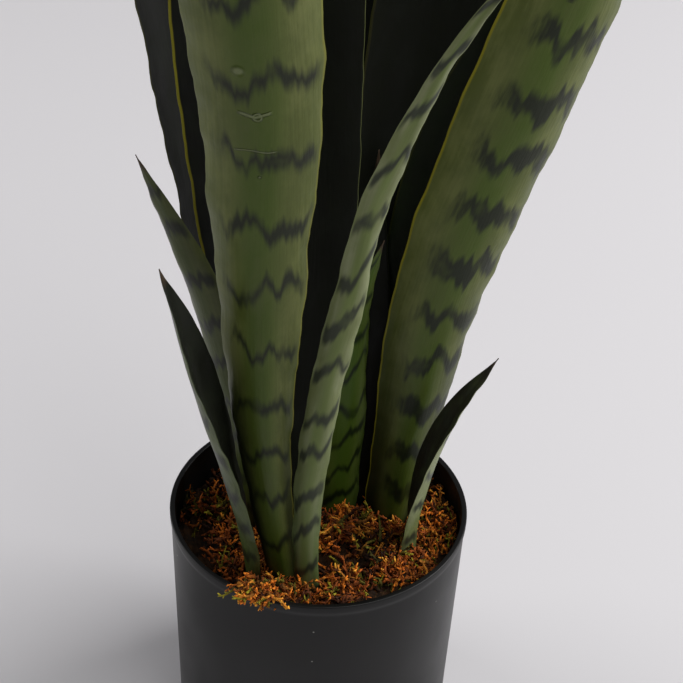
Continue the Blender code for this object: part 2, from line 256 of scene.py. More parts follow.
def signed_volume(points, triangles):
    """Volume inside a closed skin of triangles, negative when it faces inwards."""
    a, b, c = (points[triangles[:, k]] for k in range(3))
    return float(np.sum(np.cross(a, b) * c)) / 6


def put_closed_tube(name, grid, ends):
    """A closed object: rows of points, each row closed on itself and joined to the
    next by pairs of triangles, with a fan of triangles round a middle point at
    each end. Its faces are turned outwards."""
    rows, around = grid.shape[:2]
    k, j = np.meshgrid(np.arange(rows - 1), np.arange(around), indexing="ij")
    a = (k * around + j).ravel()
    b = (k * around + (j + 1) % around).ravel()
    here = np.arange(around)
    after = (here + 1) % around
    last = (rows - 1) * around
    middle = np.full(around, rows * around)
    triangles = np.concatenate([
        np.stack([a, b, b + around], 1), np.stack([a, b + around, a + around], 1),
        np.stack([after, here, middle], 1),
        np.stack([last + here, last + after, middle + 1], 1)])
    points = np.concatenate([grid.reshape(-1, 3), ends])
    obj = put_mesh(name, points, triangles)
    if signed_volume(points, triangles) < 0:
        obj.data.flip_normals()
    return obj


def finish_piece(obj, material, slot, *nodes):
    """Gives a piece its material and its body and hides the nodes it stands for.
    slot is not used.
    """
    obj.data.materials.clear()
    obj.data.materials.append(material)
    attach(obj, "root")
    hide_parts(*nodes)
    return obj


def smooth_noise(x, y, seed, octaves=3):
    """A soft pattern between about -1 and 1: sines crossing at turned angles,
    each octave finer and weaker than the last. x and y are in waves."""
    rng = np.random.default_rng(seed)
    total = np.zeros(np.broadcast(x, y).shape)
    weight = 1.0
    for octave in range(octaves):
        turn, shift, push = rng.uniform(0, 2 * np.pi, 3)
        u = x * np.cos(turn) - y * np.sin(turn)
        v = x * np.sin(turn) + y * np.cos(turn)
        bend = 0.6 * np.sin(2 * np.pi * v * 0.63 + push)
        total += weight * np.sin(2 * np.pi * u + shift + bend) * np.cos(
            2 * np.pi * v * 0.87 + push)
        x, y, weight = x * 1.93, y * 1.93, weight * 0.55
    return total


# ---------------------------------------------------------------- node helpers


class Board:
    """A material's node tree, with short calls for the nodes used here."""

    def __init__(self, name):
        self.material = bpy.data.materials.new(name)
        self.material.use_nodes = True
        self.tree = self.material.node_tree
        self.shader = self.tree.nodes["Principled BSDF"]

    def add(self, kind, inputs=None, **settings):
        """A node with its settings, its inputs linked or given a value."""
        node = self.tree.nodes.new(kind)
        for key, value in settings.items():
            setattr(node, key, value)
        for key, value in (inputs or {}).items():
            if isinstance(value, bpy.types.NodeSocket):
                self.tree.links.new(value, node.inputs[key])
            else:
                node.inputs[key].default_value = value
        return node

    def attribute(self, name, output="Fac"):
        """A value stored on the mesh's points."""
        return self.add("ShaderNodeAttribute", attribute_name=name).outputs[output]

    def math(self, operation, a, b=0.0, clamp=False):
        """One sum, held between 0 and 1 if clamped."""
        node = self.add("ShaderNodeMath", {0: a, 1: b}, operation=operation,
                        use_clamp=clamp)
        return node.outputs[0]

    def times(self, product, *values):
        """Values multiplied together."""
        for value in values:
            product = self.math("MULTIPLY", product, value)
        return product

    def step(self, value, low, high, start=0.0, end=1.0):
        """A soft step of value: start at low and end at high."""
        node = self.add("ShaderNodeMapRange",
                        {"Value": value, "From Min": low, "From Max": high,
                         "To Min": start, "To Max": end},
                        interpolation_type="SMOOTHSTEP")
        return node.outputs["Result"]

    def mix(self, share, a, b):
        """Colour a turned into colour b by share."""
        node = self.add("ShaderNodeMix", {0: share, 6: a, 7: b}, data_type="RGBA")
        return node.outputs[2]

    def scaled(self, vector, scale):
        """A place stretched along each axis."""
        node = self.add("ShaderNodeVectorMath", {0: vector, 1: scale},
                        operation="MULTIPLY")
        return node.outputs[0]

    def noise(self, vector, scale=1.0, detail=2.0, roughness=0.5):
        """A cloudy pattern between 0 and 1."""
        node = self.add("ShaderNodeTexNoise",
                        {"Vector": vector, "Scale": scale, "Detail": detail,
                         "Roughness": roughness})
        return node.outputs["Fac"]

    def bump(self, height, strength, distance, before=None):
        """Fine relief, on top of an earlier one if given."""
        inputs = {"Height": height, "Strength": strength, "Distance": distance}
        if before is not None:
            inputs["Normal"] = before
        return self.add("ShaderNodeBump", inputs).outputs["Normal"]

    def wire(self, socket, name):
        """Feeds one of the shader's inputs."""
        self.tree.links.new(socket, self.shader.inputs[name])


# ---------------------------------------------------------------- leaves


def smooth_line(stations, count):
    """Points and unit tangents, evenly spaced along a smooth curve through the
    stations: cubic pieces whose slopes are those of the neighbouring chords."""
    p = np.array(stations, float) / 1000
    t = np.concatenate([[0], np.cumsum(np.linalg.norm(np.diff(p, axis=0), axis=1))])
    slope = np.empty_like(p)
    slope[1:-1] = (p[2:] - p[:-2]) / (t[2:] - t[:-2])[:, None]
    slope[0] = 2 * (p[1] - p[0]) / (t[1] - t[0]) - slope[1]
    slope[-1] = 2 * (p[-1] - p[-2]) / (t[-1] - t[-2]) - slope[-2]

    def at(q):
        k = np.clip(np.searchsorted(t, q, side="right") - 1, 0, len(t) - 2)
        h = (t[k + 1] - t[k])[:, None]
        u = (q - t[k])[:, None] / h
        start = (2 * u**3 - 3 * u**2 + 1) * p[k] + (u**3 - 2 * u**2 + u) * h * slope[k]
        end = (3 * u**2 - 2 * u**3) * p[k + 1] + (u**3 - u**2) * h * slope[k + 1]
        return start + end

    fine = np.linspace(0, t[-1], 400)
    run = np.linalg.norm(np.diff(at(fine), axis=0), axis=1)
    run = np.concatenate([[0], np.cumsum(run)])
    q = np.interp(np.linspace(0, run[-1], count), run, fine)
    step = 0.004 * t[-1]
    tangent = at(np.clip(q + step, 0, t[-1])) - at(np.clip(q - step, 0, t[-1]))
    tangent /= np.linalg.norm(tangent, axis=1)[:, None]
    return at(q), tangent, run[-1]


def leaf_width(s, leaf):
    """Width round the curve: it swells from the foot to the belly along a
    quarter sine and runs to the point along a falling parabola."""
    rise = np.sin(np.pi / 2 * np.clip(s / leaf["belly"], 0, 1)) ** 1.2
    rest = np.clip((s - leaf["belly"]) / (1 - leaf["belly"]), 0, 1)
    span = leaf["foot"] + (1 - leaf["foot"]) * rise
    return leaf["width"] / 1000 * span * (1 - rest**2) ** leaf["tip"]


def leaf_surface(leaf, seed, rows, columns, fullness):
    """A strap leaf as one closed skin.

    Across the leaf, v runs from -1 to 1 and turns the outer face round a circular
    arc; along it, s runs from 0 at the foot to 1 at the tip on the centreline. The
    inner face lies a thickness inside, which falls to nothing at both margins, so
    the section is a bent lens. The margins ripple and the blade has slow waves.
    Returns the points, row by row, and for each point v, s, the distance along in
    metres, the signed distance across in metres and whether it is on the inside."""
    s = np.linspace(0, 1, rows)
    centre, tangent, length = smooth_line(leaf["line"], rows)
    bearing = np.interp(s, np.linspace(0, 1, len(leaf["face"])), leaf["face"])
    bearing = np.radians(bearing)
    out = np.stack([np.cos(bearing), np.sin(bearing), 0 * s], 1)
    out -= tangent * np.sum(out * tangent, axis=1)[:, None]
    out /= np.linalg.norm(out, axis=1)[:, None]
    side = np.cross(tangent, out)
    width = np.maximum(leaf_width(s, leaf), POINT_WIDTH)
    half = np.radians(np.interp(s, [0, 0.35, 1], leaf["trough"]))
    half = np.minimum(half, width / 2 / TIGHTEST_BEND)
    radius = (width / 2 / half)[:, None]

    v = np.sin(np.pi / 2 * np.linspace(-1, 1, columns))
    v = np.concatenate([v, v[-2:0:-1]])
    inside = np.concatenate([np.zeros(columns), np.ones(columns - 2)])
    along = s[:, None] * length
    wave = 1 + 0.012 * smooth_noise(along / 0.06, 0 * along, seed, 2)
    a = v[None, :] * half[:, None] * wave
    across = side[:, None, :] * (radius * np.sin(a))[..., None]
    inward = out[:, None, :] * (radius * (np.cos(a) - 1))[..., None]
    normal = side[:, None, :] * np.sin(a)[..., None]
    normal = normal + out[:, None, :] * np.cos(a)[..., None]

    body = np.interp(s, *BLADE_THICKNESS)
    depth = (fullness * body)[:, None] * (1 - np.abs(v) ** 2.6) ** 0.55
    depth = np.minimum(depth, 0.45 * width[:, None])
    taper = np.clip((1 - s) / 0.1, 0, 1)[:, None]
    margin = np.sign(v)[None, :] * 1.7 + 0 * along
    ripple = smooth_noise(along / 0.045, margin, seed + 9, 3)
    ripple = 0.0006 * taper * np.abs(v) ** 3 * ripple
    swell = 0.0005 * smooth_noise(along / 0.11, v[None, :] * 0.35, seed + 5, 2)
    offset = swell * taper + ripple - depth * inside[None, :]
    points = centre[:, None, :] + across + inward + normal * offset[..., None]
    shape = points.shape[:2]
    facts = dict(
        v=np.broadcast_to(v[None, :], shape),
        s=np.broadcast_to(s[:, None], shape),
        along=np.broadcast_to(along, shape),
        across=v[None, :] * width[:, None] / 2,
        inside=np.broadcast_to(inside[None, :], shape),
    )
    return points, facts


def band_phase(leaf, facts, points):
    """How many bands up the leaf a point lies. The spacing grows from the foot to
    a third of the height, and a slant lifts one margin over the other."""
    height, low, high, slant, _ = leaf["bands"]
    along = facts["along"][:, 0]
    spacing = np.interp(facts["s"][:, 0], [0, 0.4, 1], [low, high, high * 1.1]) / 1000
    steps = np.diff(along, prepend=0) / spacing
    phase = np.cumsum(steps)
    middle = points[:, facts["v"].shape[1] // 4, 2]
    phase = phase - np.interp(height / 1000, middle, phase)
    return phase[:, None] - slant * facts["v"]


def build_leaf(name, leaf, seed, settings):
    """One leaf: its skin, closed at the foot and the tip, with the values that
    its colouring follows."""
    tall = leaf["line"][-1][2] > TALL_FROM
    rows, columns = TALL_LEAF_GRID if tall else SHORT_LEAF_GRID
    points, facts = leaf_surface(leaf, seed, rows, columns, settings.fullness)
    ends = np.stack([points[0].mean(0), points[-1].mean(0)])
    obj = put_closed_tube(name + "_blade", points, ends)

    def spread(grid, at_foot=0.0, at_tip=0.0):
        """A value for each point of the skin and for its two end points."""
        return np.concatenate([grid.ravel(), [at_foot, at_tip]])

    phase = band_phase(leaf, facts, points)
    grain = np.stack([facts["across"] * 100, facts["along"] * 100,
                      np.full(facts["v"].shape, seed * 7.3)], -1).reshape(-1, 3)
    grain = np.concatenate([grain, grain[:1], grain[-1:]])
    add_values(obj, "grain", grain)
    add_values(obj, "phase", spread(phase, phase[0, 0], phase[-1, 0]))
    add_values(obj, "edge", spread(facts["v"]))
    add_values(obj, "inside", spread(facts["inside"]))
    add_values(obj, "height", spread(facts["s"], 0.0, 1.0))
    material = leaf_material(name + "_wax", leaf, name == "leaf_front_left_tall")
    return finish_piece(obj, material, "leaf_plastic", name)


def leaf_material(name, leaf, marked):
    """Waxy leaf: faint long streaks and soft mottling over the body colour, a
    greener middle stripe, a foot darkened with painted shade, most at its margins,
    smudged dark bands that zigzag across, an inner face darker partly by its own
    tone and partly by painted shade, thin yellow margins on some, and a dry brown
    point."""
    look = LOOKS[leaf["look"]]
    margins = leaf["margins"]
    b = Board(name)
    grain = b.attribute("grain", "Vector")
    phase = b.attribute("phase")
    edge = b.attribute("edge")
    inside = b.attribute("inside")
    height = b.attribute("height")
    parts = b.add("ShaderNodeSeparateXYZ", {0: grain}).outputs
    margin = b.math("ABSOLUTE", edge)

    streak = b.noise(b.scaled(grain, (7.0, 0.22, 1.0)), 1.0, 3.0, 0.55)
    mottle = b.noise(b.scaled(grain, (0.75, 0.42, 1.0)), 1.0, 4.0, 0.6)
    mixed = b.math("ADD", b.times(streak, 0.35), mottle)
    colour = b.mix(b.step(mixed, 0.48, 0.92), paint(look["body"]),
                   paint(look["streak"]))
    centre = b.times(b.step(margin, 0.60, 0.10), b.step(mixed, 0.40, 0.80, 0.35, 0.9))
    colour = b.mix(centre, colour, paint(look["middle"]))
    # Painted shade: the foot turns to the darker foot colour, most towards its margins,
    # where the neighbouring leaves shade it.
    painted_foot_shade = b.times(b.step(height, 0.42, 0.05), b.step(margin, 0.25, 0.75, 0.15, 1.0))
    colour = b.mix(painted_foot_shade, colour, paint(look["foot"]))

    row = b.math("ROUND", phase)
    place = b.add("ShaderNodeCombineXYZ", {0: b.times(parts[0], 1.15),
                                           1: b.times(row, 5.3), 2: parts[2]})
    place = place.outputs[0]
    zigzag = b.math("SUBTRACT", b.noise(place, 1.0, 2.2, 0.6), 0.5)
    fibre = b.math("SUBTRACT", b.noise(b.scaled(grain, (5.0, 0.8, 1.0)), 1.0, 3.0), 0.5)
    shift = b.math("ADD", b.times(zigzag, 1.30), b.times(fibre, 0.14))
    away = b.math("ABSOLUTE", b.math("SUBTRACT", b.math("ADD", phase, shift), row))
    beside = b.add("ShaderNodeVectorMath", {0: place, 1: (31.0, 7.0, 3.0)},
                   operation="ADD")
    thick = b.noise(beside.outputs[0], 0.8, 1.0)
    away = b.math("SUBTRACT", away, b.times(thick, leaf["bands"][4]))
    low, high = leaf.get("shown", WHOLE_WIDTH)
    shown = b.math("ADD", edge, b.times(fibre, 0.5))
    worn = b.noise(b.scaled(grain, (0.9, 0.6, 1.0)), 1.0, 2.0)
    band = b.times(b.step(away, 0.12, -0.08), b.step(shown, low - 0.12, low + 0.28),
                   b.step(shown, high + 0.12, high - 0.28), b.step(margin, 1.0, 0.80),
                   b.step(worn, 0.25, 0.5, 0.55, 0.95),
                   b.step(inside, 0.0, 1.0, 1.0, 0.5))
    # The inner face's darker colour is partly its own tone and partly painted shade
    # from inside the rosette.
    inner = b.mix(b.step(mottle, 0.4, 0.8, 0.0, 0.5), paint(look["inner"]),
                  paint(look["foot"]))
    colour = b.mix(inside, colour, inner)
    colour = b.mix(band, colour, paint(look["band"]))

    left = b.times(b.step(edge, -0.945, -0.975), margins[0])
    right = b.times(b.step(edge, 0.945, 0.975), margins[1])
    rim = b.math("ADD", left, right, clamp=True)
    colour = b.mix(rim, colour, paint(MARGIN_YELLOW))
    uneven = b.times(b.math("SUBTRACT", streak, 0.5), 0.02)
    dry = b.math("ADD", height, uneven)
    colour = b.mix(b.step(dry, 0.955, 0.985), colour, paint(TIP_BROWN))

    rough = b.step(mottle, 0.25, 0.75, 0.34, 0.50)
    b.wire(b.math("ADD", rough, b.times(inside, 0.15)), "Roughness")
    b.shader.inputs["Specular IOR Level"].default_value = 0.22
    pores = b.noise(b.scaled(grain, (2.2, 1.4, 1.0)), 1.0, 4.0)
    fine = b.math("ADD", b.times(streak, 0.5), b.times(pores, 0.9))
    normal = b.bump(fine, 0.30, 0.0008)
    if marked:
        marks = moulding_marks(b, parts)
        normal = b.bump(marks, 1.0, 0.0012, normal)
        colour = b.mix(b.step(marks, 0.2, 1.4, 0.0, 0.30), colour, paint(MARK_PALE))
    b.wire(colour, "Base Color")
    b.wire(normal, "Normal")
    return b.material


def moulding_marks(b, parts):
    """Height of the small marks that the mould leaves, in the leaf's own
    centimetres: a raised wedge with a pit beside it, a thin raised seam below,
    and a blunt pip above."""
    x = parts[0]
    y = parts[1]

    def far(across, along):
        """Distance from a point of the leaf."""
        dx = b.math("SUBTRACT", x, across)
        dy = b.math("SUBTRACT", y, along)
        return b.math("SQRT", b.math("ADD", b.times(dx, dx), b.times(dy, dy)))

    pit = far(-0.05, 31.62)
    ring = b.math("SUBTRACT", b.step(pit, 0.26, 0.18),
                  b.step(pit, 0.15, 0.06, 0.0, 1.4))
    flat = b.math("ABSOLUTE", b.math("SUBTRACT", x, -0.15))
    wedge = b.math("SUBTRACT", y, b.times(flat, 0.30))
    wedge = b.math("ABSOLUTE", b.math("SUBTRACT", wedge, 31.62))
    wedge = b.times(b.step(wedge, 0.12, 0.04), b.step(flat, 0.75, 0.55))
    bend = b.times(b.math("SINE", b.times(x, 4.0)), 0.05)
    seam = b.math("ABSOLUTE", b.math("SUBTRACT", b.math("ADD", y, bend), 29.85))
    seam = b.times(b.step(seam, 0.07, 0.02), b.step(flat, 0.95, 0.70))
    pip = b.step(far(-0.70, 33.9), 0.34, 0.10)
    dot = b.step(far(0.0, 28.5), 0.10, 0.03)
    total = b.math("ADD", b.math("MAXIMUM", ring, wedge), seam)
    return b.math("ADD", total, b.math("ADD", pip, dot))


# ---------------------------------------------------------------- moss and soil


def moss_height(x, y):
    """Height of the moss: a level sheet that climbs to the rim at the front,
    sinks at the back left, and carries one mound and some soft lumps."""
    height = MOSS_LEVEL + 0.012 * np.clip((-y - 0.035) / 0.040, 0, 1) ** 1.5
    height = height - 0.006 * np.exp(-((x + 0.045) ** 2 + (y - 0.045) ** 2) / 0.0012)
    height = height + 0.009 * np.exp(-((x - 0.016) ** 2 + (y + 0.020) ** 2) / 0.0005)
    height = height + 0.005 * np.exp(-((x - 0.052) ** 2 + (y + 0.038) ** 2) / 0.0004)
    lumps = np.sin(210 * x + 1.3) * np.sin(190 * y + 0.4)
    lumps = lumps + 0.6 * np.sin(340 * x - 260 * y) * np.cos(150 * y)
    return height + 0.0014 * lumps


def build_moss_bed():
    """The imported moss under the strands: a disc on rings and spokes whose top is
    the moss height, roughened, sunk a little, and whose side and base are plain.
    A fan of triangles closes the top and the base at their middles."""
    spokes, rings = 200, 70
    angle = np.linspace(0, 2 * np.pi, spokes, endpoint=False)[None, :]
    share = np.linspace(0.01, 1, rings)[::-1, None]
    x = MOSS_RADIUS * share * np.cos(angle)
    y = MOSS_RADIUS * share * np.sin(angle)
    rough = smooth_noise(x / 0.006, y / 0.006, 3, 4)
    z = moss_height(x, y) - 0.0022 + 0.0011 * rough
    top = np.stack([x, y, z], -1)
    base = np.stack([x[0] * 0.997, y[0] * 0.997, np.full(spokes, MOSS_FLOOR)], -1)
    middles = [[0, 0, MOSS_FLOOR], [0, 0, z[-1].mean()]]
    obj = put_closed_tube("moss_bed_packed", np.concatenate([base[None], top]), middles)
    return finish_piece(obj, bed_material(), "dried_moss", "moss_bed")


def bed_material():
    """Dark packed moss in cloudy patches of near-black and dark brown, flecked
    with rusty brown.
    """
    b = Board("packed_moss")
    place = b.add("ShaderNodeTexCoord").outputs["Object"]
    coarse = b.noise(place, 90.0, 3.0, 0.6)
    fine = b.noise(place, 420.0, 4.0, 0.7)
    colour = b.mix(b.step(coarse, 0.35, 0.65), paint((24, 16, 9)), paint((52, 32, 15)))
    colour = b.mix(b.step(fine, 0.5, 0.75), colour, paint((74, 48, 20)))
    b.wire(colour, "Base Color")
    b.shader.inputs["Roughness"].default_value = 0.95
    b.shader.inputs["Specular IOR Level"].default_value = 0.2
    b.wire(b.bump(fine, 0.9, 0.0015), "Normal")
    return b.material


def soil_material():
    """Crumbly dark potting fibre."""
    b = Board("potting_fibre")
    place = b.add("ShaderNodeTexCoord").outputs["Object"]
    crumbs = b.noise(place, 260.0, 4.0, 0.65)
    colour = b.mix(b.step(crumbs, 0.3, 0.7), paint((30, 22, 16)), paint((74, 54, 38)))
    b.wire(colour, "Base Color")
    b.shader.inputs["Roughness"].default_value = 0.95
    b.wire(b.bump(crumbs, 0.8, 0.002), "Normal")
    return b.material


def unit(vectors):
    """Vectors along the last axis made one long."""
    return vectors / np.linalg.norm(vectors, axis=-1, keepdims=True)


def turned_about(vectors, axis, angle):
    """Vectors turned about unit axes: the part along the axis stays, and the rest
    turns in the plane across it."""
    c, s = np.cos(angle)[..., None], np.sin(angle)[..., None]
    lift = np.sum(axis * vectors, -1, keepdims=True) * axis
    return vectors * c + np.cross(axis, vectors) * s + lift * (1 - c)


def curled_threads(start, heading, axis, turn, length, radius, joints):
    """Three-sided threads, all at once. Each one's heading turns steadily about
    its axis as it grows, so its line is an arc or a curl, and its radius falls
    to a third at the end. Returns joints, points and triangles."""
    count = len(start)
    share = np.linspace(0, 1, joints)[None, :]
    angle = turn[:, None] * share
    way = turned_about(np.repeat(heading[:, None], joints, 1),
                       np.repeat(axis[:, None], joints, 1), angle)
    step = way * (length[:, None] / (joints - 1))[..., None]
    line = start[:, None] + np.cumsum(step, 1) - step
    across = unit(np.cross(way, axis[:, None] + 0.3))
    other = np.cross(way, across)
    size = (radius[:, None] * (1 - 0.67 * share))[..., None]
    corner = np.arange(3) * 2 * np.pi / 3
    points = line[:, :, None] + size[:, :, None] * (
        across[:, :, None] * np.cos(corner)[:, None]
        + other[:, :, None] * np.sin(corner)[:, None])
    k, j = np.meshgrid(np.arange(joints - 1), np.arange(3), indexing="ij")
    a, b = k * 3 + j, k * 3 + (j + 1) % 3
    wall = np.stack([a, b, b + 3, a, b + 3, a + 3], -1).reshape(-1, 3)
    last = (joints - 1) * 3
    ends = np.array([[2, 1, 0], [last, last + 1, last + 2]])
    one = np.concatenate([wall, ends])
    faces = one[None] + (np.arange(count) * joints * 3)[:, None, None]
    return line, points.reshape(-1, 3), faces.reshape(-1, 3)


def moss_sprigs(name, start, lean, size, dyes, seed, material, node):
    """Sprigs of dried moss: a thick curled stem with short stubby side shoots on
    alternate sides, its dye darkened towards the root as painted shade and
    brightened towards the tips as a painted highlight."""
    rng = np.random.default_rng(seed)
    count = len(start)
    bearing = rng.uniform(0, 2 * np.pi, count)
    rise = rng.uniform(-0.1, 0.9, count)
    heading = np.stack([np.cos(bearing), np.sin(bearing), rise], 1)
    heading = unit(heading + lean)
    axis = unit(rng.normal(size=(count, 3)))
    turn = rng.uniform(1.2, 5.0, count) * rng.choice([-1, 1], count)
    length = size * rng.uniform(0.6, 1.5, count)
    radius = rng.uniform(*SPRIG_RADIUS, count)
    stem = curled_threads(start, heading, axis, turn, length, radius, STEM_JOINTS)
    line = stem[0]
    # Brightness on each joint, from dark at the root to past full at the tip: painted
    # shade down in the moss and a painted highlight on the tips.
    threads = [(stem, np.linspace(0.2, 1.2, STEM_JOINTS))]
    for shoot in range(SHOOTS):
        joint = shoot + 1
        root = line[:, joint]
        ahead = unit(line[:, joint] - line[:, joint - 1])
        sideways = unit(np.cross(ahead, axis + 0.2)) * (-1) ** shoot
        heading = unit(ahead * 0.7 + sideways + rng.normal(size=(count, 3)) * 0.35)
        turn = rng.uniform(-1.5, 1.5, count)
        shoot_length = length * rng.uniform(0.14, 0.26, count)
        low = 0.3 + 0.2 * shoot
        threads.append((curled_threads(root, heading, axis, turn, shoot_length,
                                       radius * 0.9, 2), (low, low + 0.7)))
    points, faces, owner, light = [], [], [], []
    first = 0
    for (_, corners, sides), shades in threads:
        points.append(corners)
        faces.append(sides + first)
        owner.append(np.repeat(np.arange(count), 3 * len(shades)))
        light.append(np.tile(np.repeat(shades, 3), count))
        first += len(corners)
    points, owner, light = (np.concatenate(a) for a in (points, owner, light))
    if node == "moss_bed":
        points = hold_inside(points)
    obj = put_mesh(name, points, np.concatenate(faces))
    shade = dyes[owner] * (light * rng.uniform(0.35, 1.60, count)[owner])[:, None]
    add_values(obj, "dye_with_painted_shade", np.column_stack([np.clip(shade, 0, 1), np.ones(len(shade))]))
    return finish_piece(obj, material, "dried_moss", node)


def hold_inside(points):
    """Draws points in towards the axis where they pass the edge of the bed."""
    far = np.hypot(points[:, 0], points[:, 1])
    keep = np.minimum(1, (MOSS_RADIUS - 0.0004) / np.maximum(far, 1e-6))
    return points * np.stack([keep, keep, np.ones_like(keep)], 1)


def sprig_material():
    """Dry dyed moss: each strand's dye with its painted shade and highlight,
    broken up by fine specks.
    """
    b = Board("dyed_moss")
    dye_with_painted_shade = b.attribute("dye_with_painted_shade", "Color")
    place = b.add("ShaderNodeTexCoord").outputs["Object"]
    speck = b.noise(place, 900.0, 3.0, 0.7)
    colour = b.mix(b.step(speck, 0.45, 0.8, 0.0, 0.55), dye_with_painted_shade, paint((58, 36, 18)))
    b.wire(colour, "Base Color")
    b.shader.inputs["Roughness"].default_value = 0.9
    b.shader.inputs["Specular IOR Level"].default_value = 0.25
    b.wire(b.bump(speck, 0.5, 0.0004), "Normal")
    return b.material


def dyes_and_painted_shade_at(x, y, tint, seed):
    """A colour for each place: warm orange dye in drifts, olive and dark brown
    between, each clump leaning one way, and darker towards the left and the back
    as painted shade."""
    rng = np.random.default_rng(seed)
    palette = np.array([paint(c)[:3] for c in MOSS_DYES])
    drift = 0.8 * smooth_noise(x / 0.030, y / 0.030, 21, 2)
    drift = drift + 1.1 * tint + 0.35 * rng.normal(size=len(x))
    # Painted shade: the dyes turn darker towards the back and towards the left.
    drift = drift + np.clip((0.01 - y) / 0.07, -0.5, 0.3)
    drift = drift + np.clip(x / 0.05, -0.25, 0.0)
    place = np.clip((1.9 - drift) / 4.4, 0, 0.999)
    return palette[np.array(DYE_ORDER)[(place * len(DYE_ORDER)).astype(int)]]


def build_moss_strands(settings):
    """Curled sprigs all over the bed, gathered in clumps: most of them start near
    the middle of a clump, which stands a little proud of the bed, and the gaps
    between clumps stay low and dark. They come in three pieces, to stay light."""
    material = sprig_material()
    rng = np.random.default_rng(31)
    spread = np.sqrt(rng.uniform(0, 1, CLUMPS)) * (MOSS_RADIUS - 0.004)
    bearing = rng.uniform(0, 2 * np.pi, CLUMPS)
    middle = np.stack([spread * np.cos(bearing), spread * np.sin(bearing)], 1)
    tall = rng.uniform(0.0, 1.0, CLUMPS) ** 2
    tint = rng.normal(size=CLUMPS)
    for part in range(3):
        rng = np.random.default_rng(40 + part)
        count = settings.strands // 3
        clump = rng.integers(0, CLUMPS, count)
        shift = rng.normal(0, 0.0042, (count, 2))
        x, y = (middle[clump] + shift).T
        far = np.hypot(shift[:, 0], shift[:, 1]) / 0.006
        mound = 0.013 * np.exp(-((x - 0.018) ** 2 + (y + 0.020) ** 2) / 0.00022)
        proud = 0.0060 * tall[clump] * np.exp(-far**2)
        z = moss_height(x, y) - 0.0042 + proud
        z = z + (0.0028 + mound) * rng.uniform(0, 1, count)
        start = np.stack([x, y, z], 1)
        lean = -start * (0.8, 0.8, 0) / MOSS_RADIUS
        lean[:, :2] += shift / 0.006 * 0.6
        dyes = dyes_and_painted_shade_at(x, y, tint[clump], 60 + part)
        moss_sprigs("moss_strands_%d" % (part + 1), start, lean, 0.0105, dyes,
                    80 + part, material, "moss_bed")
    return material


def build_rim_tuft(material):
    """A clump of bright strands lying over the front of the rim."""
    rng = np.random.default_rng(11)
    count = 120
    middle = np.radians(-112)
    bearing = middle + rng.normal(0, 0.08, count)
    out = RIM_RADIUS - 0.0015 + rng.uniform(-0.010, 0.0035, count)
    z = RIM_TOP + 0.0010 + rng.uniform(0, 0.0035, count) * np.exp(
        -((bearing - middle) / 0.12) ** 2)
    start = np.stack([out * np.cos(bearing), out * np.sin(bearing), z], 1)
    lean = start * (1, 1, 0) / RIM_RADIUS * 0.9 - (0, 0, 0.9)
    palette = np.array([paint(c)[:3] for c in MOSS_DYES])
    dyes = palette[rng.choice(4, count, p=[0.45, 0.30, 0.10, 0.15])]
    moss_sprigs("moss_tuft_on_rim", start, lean, 0.0075, dyes, 90, material,
                "moss_tuft_front_rim")


# ---------------------------------------------------------------- pot


def rounded_profile(corners, steps=6):
    """A profile with its corners rounded: near each corner (radius, height,
    round) the line follows a quadratic curve that starts and ends a rounding
    away from it and is pulled towards it."""
    points = np.array([c[:2] for c in corners], float)
    size = np.array([c[2] for c in corners], float)
    t = np.linspace(0, 1, steps)[:, None]
    parts = [points[:1]]
    for k in range(1, len(points) - 1):
        before = unit(points[k - 1] - points[k]) * size[k]
        after = unit(points[k + 1] - points[k]) * size[k]
        start, end = points[k] + before, points[k] + after
        parts.append((1 - t) ** 2 * start + 2 * t * (1 - t) * points[k] + t**2 * end)
    parts.append(points[-1:])
    return np.concatenate(parts)


def build_pot(settings):
    """The pot: a rounded wall profile turned once round the axis, from the
    inside of the floor, up the inside, over the rim and down the outside."""
    taper, wall, lip, band = 0.020, 0.0024, 0.0006, 0.0040
    outer = RIM_RADIUS - lip
    inner_top = outer - wall
    foot = outer - taper * RIM_TOP
    corners = [
        (0.0006, 0.0030, 0), (inner_top - taper * RIM_TOP, 0.0030, 0.0015),
        (inner_top, RIM_TOP, 0.0008), (RIM_RADIUS, RIM_TOP, 0.0009),
        (RIM_RADIUS - 0.0001, RIM_TOP - band, 0.0010),
        (outer - taper * band * 1.6, RIM_TOP - band * 1.6, 0.0010),
        (foot, 0.0, 0.0018), (0.0006, 0.0, 0)]
    profile = rounded_profile(corners)
    spokes = 256
    angle = np.linspace(0, 2 * np.pi, spokes, endpoint=False)[None, :]
    r, z = profile[:, :1], profile[:, 1:]
    grid = np.stack([r * np.cos(angle), r * np.sin(angle),
                     np.broadcast_to(z, (len(profile), spokes))], -1)
    middles = [[0, 0, profile[0, 1]], [0, 0, profile[-1, 1]]]
    obj = put_closed_tube("pot_shell", grid, middles)
    return finish_piece(obj, pot_material(settings), "pot_plastic", "pot")


